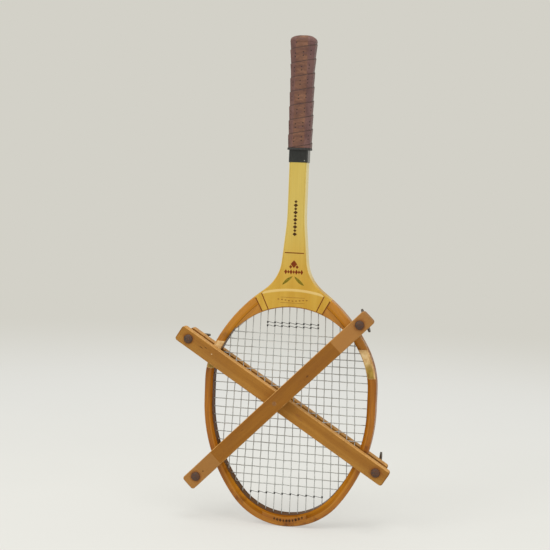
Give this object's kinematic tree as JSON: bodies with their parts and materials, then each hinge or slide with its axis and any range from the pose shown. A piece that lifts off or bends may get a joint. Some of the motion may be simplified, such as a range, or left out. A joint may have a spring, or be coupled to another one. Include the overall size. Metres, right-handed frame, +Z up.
{
  "type": "tennis racket in press",
  "caption": "Laminated wooden tennis racket with leather grip and strung oval head, held in an X-shaped wooden press of bars, bolts and wing nuts.",
  "frame": {"origin": "lowest point of the head, on the racket's centre line, in the plane of the strings", "axes": "+Z up the handle to the butt, -Y is the front face, +X to the right seen from the front"},
  "size_m": [0.3095, 0.0814, 0.685],
  "materials": {
    "ash": "varnished ash, warm orange-brown",
    "dark_ply": "darker varnished ply",
    "mahogany": "varnished mahogany",
    "cream_lacquer": "cream-yellow lacquered veneer",
    "trim_red": "dark red painted line",
    "pallet_wood": "plain lime wood, hidden",
    "leather": "worn brown perforated leather",
    "rubber": "black rubber ring",
    "black_gloss": "glossy black band",
    "brass": "dull brass tacks",
    "gut": "natural gut, slightly see-through",
    "thread": "black waxed thread",
    "press_wood": "oiled beech, worn",
    "bolt_steel": "dark oxidised steel",
    "rivet_brass": "dull rivet metal",
    "nut_steel": "dark cast wing nut"
  },
  "bodies": {
    "racket": {"bow_outer_ply": "ash", "bow_middle_ply": "ash", "bow_inner_ply": "dark_ply", "throat_wedge": "mahogany", "shaft_centre_strip": "ash", "throat_veneer_front": "cream_lacquer", "throat_veneer_back": "cream_lacquer", "throat_plaque": "cream_lacquer", "trim_lines_front": "trim_red", "trim_lines_back": "trim_red", "shoulder_veneer_left": "cream_lacquer", "shoulder_veneer_right": "cream_lacquer", "toe_veneer": "ash", "pallet_right": "pallet_wood", "pallet_left": "pallet_wood", "pallet_front": "pallet_wood", "pallet_back": "pallet_wood", "grip_leather": "leather", "grip_collar": "rubber", "shaft_band": "black_gloss", "butt_cap": "leather", "butt_tacks": "brass", "main_strings": "gut", "cross_strings": "gut", "trebling_throat": "thread", "trebling_toe": "thread"},
    "press_front_under": {"press_bar_front_under": "press_wood", "bolts_under": "bolt_steel", "pivot_rivet_front": "rivet_brass"},
    "press_front_over": {"press_bar_front_over": "press_wood", "bolts_over": "bolt_steel"},
    "press_back_under": {"press_bar_back_under": "press_wood", "washers_under": "bolt_steel", "pivot_rivet_back": "rivet_brass"},
    "press_back_over": {"press_bar_back_over": "press_wood", "washers_over": "bolt_steel"},
    "nut_upper_left": {"wing_nut_upper_left": "nut_steel"},
    "nut_lower_right": {"wing_nut_lower_right": "nut_steel"},
    "nut_upper_right": {"wing_nut_upper_right": "nut_steel"},
    "nut_lower_left": {"wing_nut_lower_left": "nut_steel"}
  },
  "joints": [
    {"name": "press_slide", "type": "slide", "parent": "racket", "child": "press_front_under", "axis": [0, 0, 1], "range_m": [0, 0.31]},
    {"name": "press_scissor", "type": "hinge", "parent": "press_front_under", "child": "press_front_over", "pos_m": [-0.0147, -0.03, 0.1785], "axis": [0, 1, 0], "range_deg": [-12, 58]},
    {"name": "press_open_under", "type": "slide", "parent": "press_front_under", "child": "press_back_under", "axis": [0, 1, 0], "range_m": [0, 0.00762]},
    {"name": "press_open_over", "type": "slide", "parent": "press_front_over", "child": "press_back_over", "axis": [0, 1, 0], "range_m": [0, 0.00763]},
    {"name": "wing_nut_lower_right_turn", "type": "hinge", "parent": "press_back_under", "child": "nut_lower_right", "pos_m": [0.1273, 0.034, 0.0908], "axis": [0, 1, 0], "range_deg": [0, 2161]},
    {"name": "wing_nut_upper_left_turn", "type": "hinge", "parent": "press_back_under", "child": "nut_upper_left", "pos_m": [-0.14445, 0.034, 0.25863], "axis": [0, 1, 0], "range_deg": [0, 2161]},
    {"name": "wing_nut_upper_right_turn", "type": "hinge", "parent": "press_back_over", "child": "nut_upper_right", "pos_m": [0.09739, 0.034, 0.29296], "axis": [0, 1, 0], "range_deg": [0, 2161]},
    {"name": "wing_nut_lower_left_turn", "type": "hinge", "parent": "press_back_over", "child": "nut_lower_left", "pos_m": [-0.12609, 0.034, 0.06476], "axis": [0, 1, 0], "range_deg": [0, 2161]}
  ],
  "couplings": [
    {"joint": "press_open_over", "follows": "press_open_under", "ratio": 1},
    {"joint": "wing_nut_lower_right_turn", "follows": "press_open_under", "rad_per_m": 4947.4},
    {"joint": "wing_nut_upper_left_turn", "follows": "press_open_under", "rad_per_m": 4947.4},
    {"joint": "wing_nut_upper_right_turn", "follows": "press_open_under", "rad_per_m": 4947.4},
    {"joint": "wing_nut_lower_left_turn", "follows": "press_open_under", "rad_per_m": 4947.4}
  ]
}
